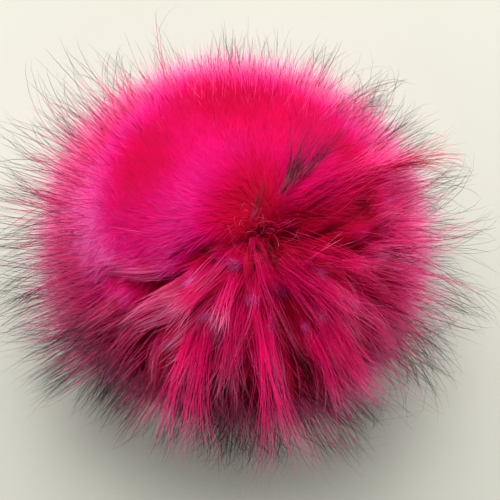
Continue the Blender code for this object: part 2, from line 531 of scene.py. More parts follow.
def strand_mesh(
    name: str,
    paths: np.ndarray,
    widths: np.ndarray,
    tones: np.ndarray,
    section: Section,
    centre: np.ndarray,
    softness: float = 0.0,
    tilt: np.ndarray | float = 0.0,
) -> bpy.types.Mesh:
    """Makes one mesh of many tapering hairs, each ending in a point.

    Args:
        name: The mesh's name.
        paths: The hairs' lines.
        widths: Each hair's width at each point but the last, in metres.
        tones: Each hair's tone, from 0 for deep to 1 for bright.
        section: Whether the hairs are flat or round.
        centre: The point that flat hairs face away from.
        softness: How far the shading follows the coat as a whole and not the single hair, from 0 to 1.
        tilt: How the coat's own facing is tipped off the ball's at each hair, as on the side of a lock.

    Returns:
        The mesh, with its two maps.
    """
    count, points, _ = paths.shape
    sides, rings = section.value, points - 1
    draw = np.random.default_rng(len(name))
    along = unit(np.gradient(paths, axis=1)[:, :rings])
    outward = unit(paths[:, :rings] - centre)
    twist = draw.normal(size=(count, 1, 3)) * LOOSE
    across = unit(np.cross(outward + twist, along))
    facing = np.cross(along, across)
    corner = np.arange(sides) * 2 * math.pi / sides
    round_it = across[:, :, None] * np.cos(corner)[:, None] + facing[:, :, None] * np.sin(corner)[:, None]
    offsets = round_it * (widths[..., None, None] / 2)
    is_round = section is Section.ROUND
    facings = unit(offsets) if is_round else np.repeat(facing[:, :, None], sides, axis=2)
    coat = unit(outward + (tilt[:, None] if isinstance(tilt, np.ndarray) else tilt))
    normals = facings * (1 - softness) + coat[:, :, None] * softness
    normals = np.concatenate([normals.reshape(count, -1, 3), coat[:, -1:]], axis=1)
    body = (paths[:, :rings, None] + offsets).reshape(count, rings * sides, 3)
    vertices = np.concatenate([body, paths[:, -1:]], axis=1)
    corners, starts = strand_faces(count, rings, section)

    mesh = bpy.data.meshes.new(name)
    mesh.vertices.add(vertices.size // 3)
    mesh.vertices.foreach_set("co", vertices.astype(np.float32).ravel())
    mesh.loops.add(len(corners))
    mesh.loops.foreach_set("vertex_index", corners.astype(np.int32))
    mesh.polygons.add(len(starts))
    mesh.polygons.foreach_set("loop_start", starts.astype(np.int32))
    mesh.update(calc_edges=True)
    mesh.shade_smooth()
    if softness:
        mesh.normals_split_custom_set_from_vertices(unit(normals).reshape(-1, 3))

    spread = np.array([-0.5, 0.5, 0.0])[:sides] * STRIP
    tone = STRIP + (1 - 2 * STRIP) * np.clip(tones, 0, 1)
    u = np.concatenate([np.tile(tone[:, None] + spread, (1, rings)), tone[:, None]], axis=1)
    v = np.repeat(np.linspace(0, 1, points)[:rings], sides)
    v = np.broadcast_to(np.append(v, 1.0), u.shape)
    places = np.stack([u, v], axis=-1).reshape(-1, 2)[corners]
    for map_name in (HAIR_MAP, BAKE_MAP):
        layer = mesh.uv_layers.new(name=map_name, do_init=False)
        layer.uv.foreach_set("vector", places.astype(np.float32).ravel())
    return mesh


def dressed(mesh: bpy.types.Mesh, material: bpy.types.Material) -> bpy.types.Object:
    """Gives a mesh its material and makes it a piece of the same name."""
    mesh.materials.append(material)
    return bpy.data.objects.new(mesh.name, mesh)


@dataclass(frozen=True)
class FibreFinish:
    """A dyed fur fibre: its colours from root to tip, how its tone shifts them, and its shine. Its tone also
    carries painted shade and light.
    """

    name: str
    stops: tuple[tuple[float, str], ...]  # place along the fibre, sRGB hex
    tone_shift: float  # how far a deep fibre's colours run ahead of a bright one's
    # The tones hold painted shade and light as well as the dye's depth, so this ramp paints both.
    dye_and_shade_depths: tuple[tuple[float, str], ...]  # tone, and what colours are multiplied by there
    roughness: float
    specular: float
    ior: float = 1.55  # keratin
    patch_size: float = 9.0 * MM  # the dye takes unevenly in patches about this wide
    patch_depth: float = 0.22
    patch_range: tuple[float, float] = (0.3, 0.7)  # of the noise, from the deepest of a patch to the palest
    roughness_spread: float = 0.12

    def material(self) -> bpy.types.Material:
        """Builds the finish as nodes."""
        material = bpy.data.materials.new(self.name)
        material.use_nodes = True
        tree = material.node_tree
        shader = tree.nodes["Principled BSDF"]
        places = add_node(tree, "ShaderNodeUVMap", uv_map=HAIR_MAP)
        parts = add_node(tree, "ShaderNodeSeparateXYZ", {0: places.outputs[0]})
        tone, place = parts.outputs["X"], parts.outputs["Y"]
        ahead = {"Value": tone, "To Min": self.tone_shift, "To Max": -self.tone_shift}
        shift = add_node(tree, "ShaderNodeMapRange", ahead)
        shifted = {0: place, 1: shift.outputs[0]}
        along = add_node(tree, "ShaderNodeMath", shifted, operation="ADD", use_clamp=True)
        dye = add_node(tree, "ShaderNodeValToRGB", {0: along.outputs[0]}, stops=self.stops)
        depth = add_node(tree, "ShaderNodeValToRGB", {0: tone}, stops=self.dye_and_shade_depths)
        multiplied = {"data_type": "RGBA", "blend_type": "MULTIPLY"}
        colours = {"Factor": 1.0, 6: dye.outputs["Color"], 7: depth.outputs["Color"]}
        toned = add_node(tree, "ShaderNodeMix", colours, **multiplied)
        spot = add_node(tree, "ShaderNodeTexCoord")
        size = {"Vector": spot.outputs["Object"], "Scale": 1 / self.patch_size, "Detail": 2.0}
        patches = add_node(tree, "ShaderNodeTexNoise", size)
        noise = patches.outputs[0]
        low, high = self.patch_range
        span = {"Value": noise, "From Min": low, "From Max": high, "To Min": 1 - self.patch_depth}
        uneven = add_node(tree, "ShaderNodeMapRange", span)
        colours = {"Factor": 1.0, 6: toned.outputs[2], 7: uneven.outputs[0]}
        final = add_node(tree, "ShaderNodeMix", colours, **multiplied)
        least, most = self.roughness - self.roughness_spread, self.roughness + self.roughness_spread
        span = {"Value": noise, "To Min": least, "To Max": most}
        worn = add_node(tree, "ShaderNodeMapRange", span)
        tree.links.new(final.outputs[2], shader.inputs["Base Color"])
        tree.links.new(worn.outputs[0], shader.inputs["Roughness"])
        shader.inputs["Specular IOR Level"].default_value = self.specular
        shader.inputs["IOR"].default_value = self.ior
        return material


# Dyed underfur: fine, crimped and matt, so it takes the dye deepest. Its deep and bright tones are painted
# shade and a painted glow at the rim.
UNDERFUR_FINISH = FibreFinish(
    name="underfur_dye_and_painted_shade",
    stops=((0.0, "#E40874"), (0.5, "#F8148E"), (0.8, "#FC2C9C"), (1.0, "#FF84CA")),
    tone_shift=-0.12,
    dye_and_shade_depths=((0.0, "#780A3C"), (0.2, "#B20E50"), (0.45, "#C81866"), (0.68, "#DC44B4"), (0.92, "#F6FFFF")),
    roughness=0.8,
    specular=0.04,
    patch_depth=0.15,
)

# Dyed over-hair: long, silky and straight. Its pale tips are painted glints along each lock, and its deep
# tones painted shade.
SILK_FINISH = FibreFinish(
    name="over_hair_dye_and_painted_glints",
    stops=((0.0, "#C80448"), (0.42, "#E00860"), (0.76, "#F42C7C"), (1.0, "#FF86B8")),
    tone_shift=-0.15,
    dye_and_shade_depths=((0.0, "#701434"), (0.3, "#C02860"), (0.7, "#FFFFFF")),
    roughness=0.45,
    specular=0.03,
)

# Dyed down: the finest ends of the underfur. Its pale colours are painted light, for the light that the thin
# fibres let through round the sides.
DOWN_FINISH = FibreFinish(
    name="down_dye_and_painted_glow",
    stops=((0.0, "#FF4A9C"), (0.5, "#FF8ABC"), (1.0, "#FFD2E4")),
    tone_shift=0.06,
    dye_and_shade_depths=((0.0, "#E4609C"), (0.6, "#FFFFFF")),
    roughness=0.85,
    specular=0.04,
    patch_depth=0.06,
)

# Guard hair: coarse and glossy. It keeps its own dark tip, under a pale band that the dye only tints.
GUARD_FINISH = FibreFinish(
    name="dark_tipped_guard_hair",
    stops=((0.0, "#B80850"), (0.38, "#DC2C78"), (0.5, "#CC5884"), (0.6, "#4C2834"), (0.72, "#140A0E")),
    tone_shift=0.28,
    dye_and_shade_depths=((0.0, "#B08890"), (0.6, "#FFFFFF")),
    roughness=0.5,
    specular=0.15,
    patch_depth=0.1,
)


@dataclass
class FurCore:
    """The pelt drawn up into a ball, with the roots of its underfur, which the coat hides."""

    field: HairField
    velvet_share: float = 0.86  # of the underfur's radius, under the upright coat
    combed_share: float = 0.8  # the same under the lying coat
    subdivisions: int = 5
    lump: float = 0.8 * MM
    grain: float = 0.8 * MM  # the ends of the fibres, many times as coarse as real ones so that they show
    grain_depth: float = 0.5 * MM

    def build(self) -> list[bpy.types.Object]:
        """Builds and dresses the core.

        Returns:
            Its one piece.
        """
        ball = self.field.ball
        shape = bmesh.new()
        bmesh.ops.create_icosphere(shape, subdivisions=self.subdivisions, radius=1.0)
        directions = unit(np.array([vertex.co for vertex in shape.verts]))
        share = self.velvet_share + (self.combed_share - self.velvet_share) * self.field.locked(directions)
        radius = ball.radius * share - self.field.hollow(directions)
        lumps = self.lump * self.field.drift(directions, seed=3, scale=5.0)
        radius = radius * self.field.girth(directions) + lumps
        points = self.field.settle(ball.centre + directions * radius[:, None])
        for vertex, point in zip(shape.verts, points):
            vertex.co = point
        mesh = bpy.data.meshes.new("fur_core")
        shape.to_mesh(mesh)
        shape.free()
        mesh.shade_smooth()
        return [dressed(mesh, self.material())]

    def material(self) -> bpy.types.Material:
        """Dyed underfur seen end on at its roots: a mottled red-pink with fine fibre grain, painted deep for
        the shade down among the roots.
        """
        material = bpy.data.materials.new("underfur_roots_dye_and_painted_shade")
        material.use_nodes = True
        tree = material.node_tree
        shader = tree.nodes["Principled BSDF"]
        spot = add_node(tree, "ShaderNodeTexCoord")
        size = {"Vector": spot.outputs["Object"], "Scale": 1 / self.grain, "Detail": 3.0}
        grain = add_node(tree, "ShaderNodeTexNoise", size)
        # Deep colours: the dye, and painted shade in the gaps between locks.
        stops = ((0.3, "#980434"), (0.7, "#D01050"))
        colour = add_node(tree, "ShaderNodeValToRGB", {0: grain.outputs[0]}, stops=stops)
        height = {"Height": grain.outputs[0], "Strength": 0.6, "Distance": self.grain_depth}
        bump = add_node(tree, "ShaderNodeBump", height)
        tree.links.new(colour.outputs[0], shader.inputs["Base Color"])
        tree.links.new(bump.outputs[0], shader.inputs["Normal"])
        shader.inputs["Roughness"].default_value = 0.85
        shader.inputs["Specular IOR Level"].default_value = 0.15
        return material


@dataclass
class Locks:
    """The locks that the combed side of the coat falls into."""

    field: HairField
    count: int = 380
    scatter: float = 0.035  # how far a lock is off its even place, as a share of the radius
    lean: tuple[float, float] = (1.3, 2.2)  # least and most of the coat's lean that a lock takes
    turn: float = 0.14  # radians that locks are turned off the coat's way
    curl: float = 0.22
    seed: int = 31

    def __post_init__(self) -> None:
        """Lays the locks out and picks each one's tone."""
        draw = np.random.default_rng(self.seed)
        self.guides = unit(even_directions(self.count) + draw.normal(0, self.scatter, (self.count, 3)))
        self.tones = draw.random(self.count)
        self.spacing = math.sqrt(4 * math.pi / self.count) / 2

    def of(self, roots: np.ndarray) -> np.ndarray:
        """The place of the lock that each root belongs to."""
        return nearest(roots, self.guides)

    def tilt(self, roots: np.ndarray, lock: np.ndarray) -> np.ndarray:
        """Where each root is off its lock's middle, as a share of the lock's half width."""
        return (roots - self.guides[lock]) / self.spacing

    def lines(self, points: int, start: float, low: float, high: float) -> np.ndarray:
        """Works out the middle line of each lock.

        Args:
            points: How many points each line has.
            start: The share of the underfur's radius at which it starts.
            low: The least share at which a lock ends.
            high: The most.

        Returns:
            The lines, as locks by points by three.
        """
        draw = np.random.default_rng(self.seed + 1)
        radius = self.field.ball.radius
        hollow = self.field.hollow(self.guides)
        hairs = self.field.lying(
            self.guides,
            inner=radius * start - self.field.root_sink * hollow,
            outer=radius * draw.uniform(low, high, self.count) - hollow,
            lean=draw.uniform(*self.lean, self.count),
            turn=draw.normal(0, self.turn, self.count),
            curl=draw.normal(0, self.curl, self.count),
        )
        return self.field.paths(hairs, points)


@dataclass
class Underfur:
    """The dense underfur: fine blades, smooth as velvet on one side and drawn into locks on the other."""

    field: HairField
    locks: Locks
    pieces: int = 3
    hairs_a_piece: int = 150000
    places_a_hair: float = 1.3  # drawn at random, of which the likeliest are kept
    # Height of the root's direction, and how much of the coat grows there
    under_table: tuple[tuple[float, float], ...] = ((-0.9, 0.1), (-0.6, 1.0))
    # Angle from the crown, and how far the coat has come to the rim there
    rim_table: tuple[tuple[float, float], ...] = ((30, 0), (75, 1))
    # Angle from the crown, and how loosely the fibres turn there
    loose_table: tuple[tuple[float, float], ...] = ((8, 0.3), (45, 1))
    width: float = 0.26 * MM  # at the root
    root_share: float = 0.88  # of the radius at which it starts
    root_drop: float = 0.08  # how much lower that is under locks
    tip_share: float = 0.985  # of the radius at which it ends
    tip_drift: float = 0.018  # how far that swells and sinks over the ball
    rim_drop: float = 0.022  # how much lower it is at the rim
    lock_drop: float = 0.1  # how much lower it is between locks
    lock_bulge: float = 0.05  # how much of that a lock's middle makes up
    lock_ends: tuple[float, float] = (0.86, 0.97)
    lock_pull: float = 0.75  # how near the tips come to their lock's line
    lie: float = 0.09  # radians that the velvet's fibres lie over by, beyond the coat's lean
    glow: float = 1.5  # how far the rim's fibres are shaded as if they faced up, as they let light through
    lock_shade: float = 0.9  # how far a lock's fibres are shaded by the side of it that they are on
    lock_tone: float = 0.35  # how much locks differ in tone
    # Painted highlight and shade: a lock's middle is painted brighter than its edges, as light falls on its
    # ridge and not between locks.
    painted_ridge_light: float = 0.3  # how much brighter a lock's middle is than its edge
    softness: float = 0.8
    seed: int = 11

    def build(self) -> list[bpy.types.Object]:
        """Builds and dresses the underfur.

        Returns:
            Its pieces, which share the ball between them at random.
        """
        material = UNDERFUR_FINISH.material()
        made = []
        for piece in range(self.pieces):
            name = f"underfur_{piece + 1}"
            made.append(dressed(self.mesh(name, np.random.default_rng(self.seed + piece)), material))
        return made

    def mesh(self, name: str, draw: np.random.Generator) -> bpy.types.Mesh:
        """Makes one piece's mesh.

        Args:
            name: The piece's name.
            draw: The source of its random values.

        Returns:
            The mesh.
        """
        field, radius, count = self.field, self.field.ball.radius, self.hairs_a_piece
        candidates = scattered(draw, int(count * self.places_a_hair))
        roots = candidates[picked(draw, read_off(self.under_table, candidates[:, 2]), count)]
        locked = field.locked(roots)
        lock = self.locks.of(roots)
        tilt = self.locks.tilt(roots, lock)
        bulge = 1 - (tilt**2).sum(axis=1)
        by_rim = read_off(self.rim_table, field.from_crown(roots))
        loose = read_off(self.loose_table, field.from_crown(roots))
        uneven = 0.008 + 0.014 * by_rim + 0.02 * locked
        outer = self.tip_share + self.tip_drift * field.drift(roots, seed=5, scale=3.0)
        outer += uneven * draw.normal(size=count)
        outer += locked * (self.lock_bulge * bulge - self.lock_drop) - self.rim_drop * by_rim
        hollow = field.hollow(roots)
        hairs = field.lying(
            roots,
            inner=radius * (self.root_share - self.root_drop * locked) - field.root_sink * hollow,
            outer=radius * outer - hollow,
            lean=draw.uniform(0.6, 1.4, count),
            turn=draw.normal(0, 0.8 - 0.6 * locked, count) * loose,
        )
        hairs.sweep += self.lie * (1 - locked)
        guide_lines = self.locks.lines(2, self.root_share, *self.lock_ends)
        paths = gathered(field.paths(hairs, 2), guide_lines[lock], self.lock_pull * locked)
        tones = field.tone(roots) + (0.04 + 0.16 * locked) * draw.normal(size=count)
        # The coat's tone brings painted shade and light, and a lock's middle is painted brighter than its
        # edges.
        of_lock = self.lock_tone * (self.locks.tones[lock] - 0.5) + self.painted_ridge_light * (bulge - 0.5)
        tones += locked * of_lock
        widths = np.full((count, 1), self.width)
        tip_up = tilt * (self.lock_shade * locked)[:, None]
        tip_up[:, 2] += self.glow * by_rim * (1 - locked)
        centre = field.ball.centre
        return strand_mesh(name, paths, widths, tones, Section.FLAT, centre, self.softness, tip_up)


@dataclass
class SilkLocks:
    """The silky over-hair that lies on the underfur in long tapering locks, mostly on the combed side."""

    field: HairField
    locks: Locks
    hairs: int = 21000
    places_a_hair: int = 5  # drawn at random, of which the likeliest are kept
    # Height of the root's direction, and how much of the over-hair grows there
    under_table: tuple[tuple[float, float], ...] = ((-0.8, 0.1), (-0.5, 1.0))
    # Angle from the crown, and how much brighter the over-hair is painted there: painted shade in the hollow
    # at the crown and down the lower locks
    painted_light_table: tuple[tuple[float, float], ...] = (
        (8, 0.0),
        (22, 0.26),
        (38, 0.16),
        (60, -0.06),
        (90, -0.22),
    )
    strands: int = 3600  # fine bundles of hairs within the locks
    scatter: float = 0.02  # how far a strand is off its even place, as a share of the radius
    root_share: float = 0.82  # of the radius at which the hairs start
    tip_share: float = 0.96  # of the radius at which they end
    lock_ends: tuple[float, float] = (0.93, 1.12)
    base_tone: float = -0.26
    lock_tone: float = 0.4  # how much locks differ in tone
    strand_tone: float = 0.72  # how much strands do
    hair_tone: float = 0.08  # how much hairs do
    points: int = 6
    width: float = 0.17 * MM
    softness: float = 0.25
    lock_shade: float = 0.9  # how far the hairs are shaded by the side of their lock that they are on
    seed: int = 31

    def build(self) -> list[bpy.types.Object]:
        """Builds and dresses the locks.

        Returns:
            Their one piece.
        """
        draw = np.random.default_rng(self.seed)
        field, count, strands = self.field, self.hairs, self.strands
        candidates = scattered(draw, count * self.places_a_hair)
        off = (self.locks.tilt(candidates, self.locks.of(candidates)) ** 2).sum(axis=1)
        weight = field.locked(candidates) ** 2.0 * np.exp(-2.0 * off)
        weight *= read_off(self.under_table, candidates[:, 2])
        roots = candidates[picked(draw, weight, count)]
        lock = self.locks.of(roots)
        tilt = self.locks.tilt(roots, lock) * self.lock_shade
        middles = unit(even_directions(strands) + draw.normal(0, self.scatter, (strands, 3)))
        strand = nearest(roots, middles)
        strand_tones = draw.random(strands)
        lock_lines = self.locks.lines(self.points, self.root_share, *self.lock_ends)
        loose = self.lines(middles, draw)
        pull = draw.uniform(0.4, 1.0, strands) ** 0.6
        strand_lines = gathered(loose, lock_lines[self.locks.of(middles)], pull)
        loose = self.lines(roots, draw)
        pull = draw.uniform(0.7, 1.0, count)
        paths = gathered(loose, strand_lines[strand], pull, power=0.7)
        paths = shortened(paths, draw.uniform(0.62, 1.0, count) ** 0.7)
        # Painted shade: the over-hair takes the coat's painted side shade, more deeply where it is dark, and
        # its table's painted light.
        painted_side_shade = field.painted_side_shade(roots)
        tones = read_off(self.painted_light_table, field.from_crown(roots)) + self.base_tone
        tones += 0.6 * painted_side_shade + 1.4 * np.minimum(painted_side_shade, 0)
        tones += self.lock_tone * self.locks.tones[lock] + self.strand_tone * strand_tones[strand]
        tones += self.hair_tone * draw.normal(size=count)
        taper = 1 - 0.6 * np.linspace(0, 1, self.points - 1) ** 2
        widths = tapering(draw, self.width, (0.6, 1.3), taper, count)
        centre = field.ball.centre
        mesh = strand_mesh("silk_locks", paths, widths, tones, Section.FLAT, centre, self.softness, tilt)
        return [dressed(mesh, SILK_FINISH.material())]

    def lines(self, roots: np.ndarray, draw: np.random.Generator) -> np.ndarray:
        """Works out the lines of over-hairs before they fall together.

        Args:
            roots: Where they grow.
            draw: The source of their random values.

        Returns:
            The lines, as hairs by points by three.
        """
        radius, count, hollow = self.field.ball.radius, len(roots), self.field.hollow(roots)
        hairs = self.field.lying(
            roots,
            inner=radius * self.root_share - self.field.root_sink * hollow,
            outer=radius * (self.tip_share + 0.03 * draw.normal(size=count)) - hollow,
            lean=draw.uniform(1.4, 2.1, count),
            turn=draw.normal(0, 0.09, count),
            curl=draw.normal(0, 0.18, count),
            wave=draw.uniform(0, 0.3, count) * MM,
            swings=draw.uniform(0.8, 2.0, count),
            phase=draw.uniform(0, 6, count),
        )
        return self.field.paths(hairs, self.points)


@dataclass
class CrownCurls:
    """The fine, messy curls where the coat parts at the crown."""

    field: HairField
    hairs: int = 56
    # Where they grow, in millimetres from the ball's axis
    places: tuple[tuple[float, float], ...] = ((5.0, 1.5), (7.5, -3.0), (15.0, -2.5))
    spread: float = 1.7 * MM  # of the roots round those places
    points: int = 10
    width: float = 0.13 * MM
    seed: int = 67

    def build(self) -> list[bpy.types.Object]:
        """Builds and dresses the curls.

        Returns:
            Their one piece.
        """
        draw = np.random.default_rng(self.seed)
        field, ball, count = self.field, self.field.ball, self.hairs
        middle = np.array(self.places)[draw.integers(0, len(self.places), count)] * MM
        level = (middle + draw.normal(0, self.spread, (count, 2))) / ball.radius
        roots = np.concatenate([level, np.sqrt(1 - (level**2).sum(axis=1))[:, None]], axis=1)
        hollow = field.hollow(roots)
        hairs = field.lying(
            roots,
            inner=ball.radius * 0.86 - hollow,
            outer=ball.radius * draw.uniform(0.97, 1.04, count) - 0.7 * hollow,
            lean=draw.uniform(0.15, 0.6, count),
            turn=draw.uniform(-math.pi, math.pi, count),
            curl=draw.choice((-1, 1), count) * draw.uniform(1.5, 4.5, count),
            wave=draw.uniform(0.1, 0.7, count) * MM,
            swings=draw.uniform(0.8, 1.8, count),
            phase=draw.uniform(0, 6, count),
        )
        paths = field.paths(hairs, self.points)
        taper = 1 - 0.5 * np.linspace(0, 1, self.points - 1)
        widths = tapering(draw, self.width, (0.7, 1.3), taper, count)
        tones = draw.uniform(0.2, 0.7, count)
        mesh = strand_mesh("crown_curls", paths, widths, tones, Section.ROUND, ball.centre)
        return [dressed(mesh, SILK_FINISH.material())]


@dataclass
class GuardHair:
    """The long, coarse guard hair with its dark tips, which stands out past the underfur in loose tufts."""

    field: HairField
    # Direction round the ball, and how far past the usual reach the tips come there
    reach_table: tuple[tuple[float, float], ...] = (
        (-180, 6.0),
        (-120, 3.0),
        (-60, 4.0),
        (-15, 6.0),
        (30, 1.0),
        (60, -2.0),
        (110, -2.0),
        (140, 5.0),
        (180, 6.0),
    )
    # Height of the root's direction, and how likely a guard hair is there
    height_table: tuple[tuple[float, float], ...] = (
        (-0.9, 0.05),
        (-0.6, 0.7),
        (-0.2, 1.1),
        (0.3, 1.0),
        (0.45, 0.04),
        (1.0, 0.001),
    )
    hairs: int = 4000
    places_a_hair: int = 8  # drawn at random, of which the likeliest are kept
    tufts: int = 200
    scatter: float = 0.05  # how far a tuft is off its even place, as a share of the radius
    root_share: float = 0.84  # of the underfur's radius at which the hairs start
    top_drop: float = 0.17  # how much shorter the reach is over the top
    uneven: tuple[float, float, float] = (-15, -8, 4)  # past the reach: the shortest, usual and longest tips
    points: int = 6
    width: float = 0.15 * MM
    seed: int = 53

    def build(self) -> list[bpy.types.Object]:
        """Builds and dresses the guard hair.

        Returns:
            Its one piece.
        """
        draw = np.random.default_rng(self.seed)
        field, count, tufts = self.field, self.hairs, self.tufts
        guides = unit(even_directions(tufts) + draw.normal(0, self.scatter, (tufts, 3)))
        thickness = draw.random(tufts) ** 2 + 0.06
        longer = draw.uniform(-9, 5, tufts) * MM
        turned = draw.normal(0, 0.45, tufts)
        lean = draw.uniform(0.2, 2.2, tufts)
        dark = draw.random(tufts)
        candidates = scattered(draw, count * self.places_a_hair)
        weight = read_off(self.height_table, candidates[:, 2])
        weight *= (0.6 + field.combed(candidates)) * thickness[nearest(candidates, guides)]
        roots = candidates[picked(draw, weight, count)]
        tuft = nearest(roots, guides)
        paths = self.lines(roots, longer[tuft], turned[tuft], lean[tuft], draw)
        guide_lines = self.lines(guides, longer, turned, lean, draw)
        paths = gathered(paths, guide_lines[tuft], draw.uniform(0.0, 0.7, count))
        tones = 0.55 * dark[tuft] + 0.45 * draw.random(count)
        taper = 1 - 0.65 * np.linspace(0, 1, self.points - 1) ** 2
        widths = tapering(draw, self.width, (0.6, 1.25), taper, count)
        mesh = strand_mesh("guard_hair", paths, widths, tones, Section.ROUND, field.ball.centre)
        return [dressed(mesh, GUARD_FINISH.material())]

    def lines(
        self,
        roots: np.ndarray,
        longer: np.ndarray,
        turned: np.ndarray,
        lean: np.ndarray,
        draw: np.random.Generator,
    ) -> np.ndarray:
        """Works out guard hairs' lines.

        Args:
            roots: Where they grow.
            longer: How much longer than usual each is.
            turned: Radians that each is turned off the coat's way.
            lean: How much of the coat's lean each takes.
            draw: The source of their random values.

        Returns:
            The lines.
        """
        field, ball, count = self.field, self.field.ball, len(roots)
        top = np.clip(roots[:, 2], 0, 1) ** 2
        azimuth = np.degrees(np.arctan2(roots[:, 1], roots[:, 0]))
        further = (read_off(self.reach_table, azimuth) + draw.triangular(*self.uneven, count)) * MM
        reach = ball.reach * (1.0 - self.top_drop * top) + further + longer
        hairs = field.lying(
            roots,
            inner=np.full(count, ball.radius * self.root_share),
            outer=reach - field.hollow(roots),
            lean=lean * draw.uniform(0.7, 1.3, count),
            turn=turned + draw.normal(0, 0.25, count),
            curl=draw.normal(0, 0.3, count),
            wave=draw.uniform(0, 0.8, count) * MM,
            swings=draw.uniform(0.4, 1.2, count),
            phase=draw.uniform(0, 6, count),
        )
        return field.paths(hairs, self.points)


class Fibre(Enum):
    """Which hair a placed tuft is made of."""

    SILK = "silk"
    GUARD = "guard"


TUFT_FINISHES = {Fibre.SILK: SILK_FINISH, Fibre.GUARD: GUARD_FINISH}
TUFT_ROOT_SHARES = {Fibre.SILK: 0.88, Fibre.GUARD: 0.94}  # of the underfur's radius at which they start

# The tufts that stand out from the rest, in millimetres from the ball's axis, seen from above.
# Fibre, root x and y, tip x and y, tip's reach from the middle, spread at the root, hairs, tone.
PLACED_TUFTS: tuple[tuple[Fibre, float, float, float, float, float, float, int, float], ...] = (
    # On top, towards the far right
    (Fibre.GUARD, 13.5, 10, 22, 30, 61.5, 1.0, 24, -0.2),
    (Fibre.GUARD, 16, 12, 25, 31, 61.5, 0.8, 12, -0.15),
    (Fibre.GUARD, 18.5, 14, 29.5, 34, 62, 0.8, 12, -0.15),
    (Fibre.GUARD, 21, 16, 33.5, 34, 62, 0.8, 10, -0.1),
    (Fibre.GUARD, 5.5, 2, 10.5, 12.5, 59, 0.6, 10, -0.2),
    (Fibre.GUARD, 39, 24, 59, 41, 74, 3.0, 20, 0.1),
    (Fibre.SILK, 36, 16, 69, 31, 76, 1.6, 50, 0.3),
    (Fibre.SILK, 24, 10, 48, 26, 66, 4.0, 80, 0.5),
    # Far right rim
    (Fibre.GUARD, 31, 34, 53, 50, 73, 5.0, 34, 0.2),
    (Fibre.GUARD, 34, 28, 47, 52, 72, 6.0, 24, 0.3),
    (Fibre.GUARD, 21, 45, 27, 62, 69, 6.0, 18, 0.5),
    # Right rim
    (Fibre.GUARD, 47, 13, 69, 22, 75, 4.0, 34, 0.3),
    (Fibre.GUARD, 40, -5, 56, -8, 65, 2.5, 20, 0.0),
    (Fibre.GUARD, 46, 0, 77, -1, 79, 5.0, 26, 0.4),
    (Fibre.GUARD, 42, -7, 80, -16, 82, 6.0, 24, 0.4),
    (Fibre.GUARD, 45, -16, 75, -26, 80, 5.0, 34, 0.3),
    (Fibre.GUARD, 40, -24, 64, -46, 79, 5.0, 56, 0.15),
    # Near side. The palest of these silk locks are painted highlights, glints along the lock tips
    (Fibre.SILK, 26, -24, 34, -55, 68, 3.0, 90, 0.7),
    (Fibre.SILK, 7, -25, 13, -75, 80, 2.0, 60, 0.95),
    (Fibre.SILK, 1, -23, -6, -52, 64, 3.0, 70, 0.7),
    (Fibre.SILK, -8, -28, -17, -70, 77, 1.8, 44, 0.95),
    (Fibre.SILK, -12, -28, -23, -68, 76, 1.8, 44, 0.95),
    (Fibre.SILK, 22, -30, 32, -54, 67, 2.0, 60, 0.9),
    (Fibre.SILK, -6, -15, -20, -28, 60, 2.5, 90, 0.9),
    (Fibre.SILK, 0, -15, -8, -30, 60, 2.0, 70, 0.95),
    (Fibre.SILK, -10, -32, -18, -46, 64, 2.5, 70, 0.9),
    (Fibre.SILK, 17, -12, 42, -30, 62, 4.0, 70, 0.5),
    (Fibre.SILK, 20, -6, 46, -12, 63, 4.0, 60, 0.3),
    (Fibre.SILK, 19, -12, 27, 0, 66, 0.2, 2, 0.95),
    # Near left
    (Fibre.GUARD, -36, -24, -56, -41, 72, 5.0, 60, 0.1),
    (Fibre.GUARD, -30, -31, -45, -51, 71, 5.0, 40, 0.15),
    # Left rim
    (Fibre.GUARD, -47, -1, -74, -5, 78, 6.0, 44, 0.15),
    (Fibre.GUARD, -48, 9, -74, 18, 80, 6.0, 34, 0.2),
    (Fibre.GUARD, -47, -13, -73, -24, 80, 6.0, 44, 0.15),
    # Far left rim
    (Fibre.GUARD, -38, 31, -57, 55, 82, 6.0, 22, 0.4),
    (Fibre.GUARD, -46, 19, -72, 36, 82, 5.0, 20, 0.3),
    (Fibre.GUARD, -22, 45, -22, 72, 76, 3.0, 5, 0.4),
    (Fibre.GUARD, -34, 41, -36, 58, 70, 6.0, 22, 0.5),
    (Fibre.GUARD, -6, 50, 0, 64, 68, 6.0, 10, 0.6),
)


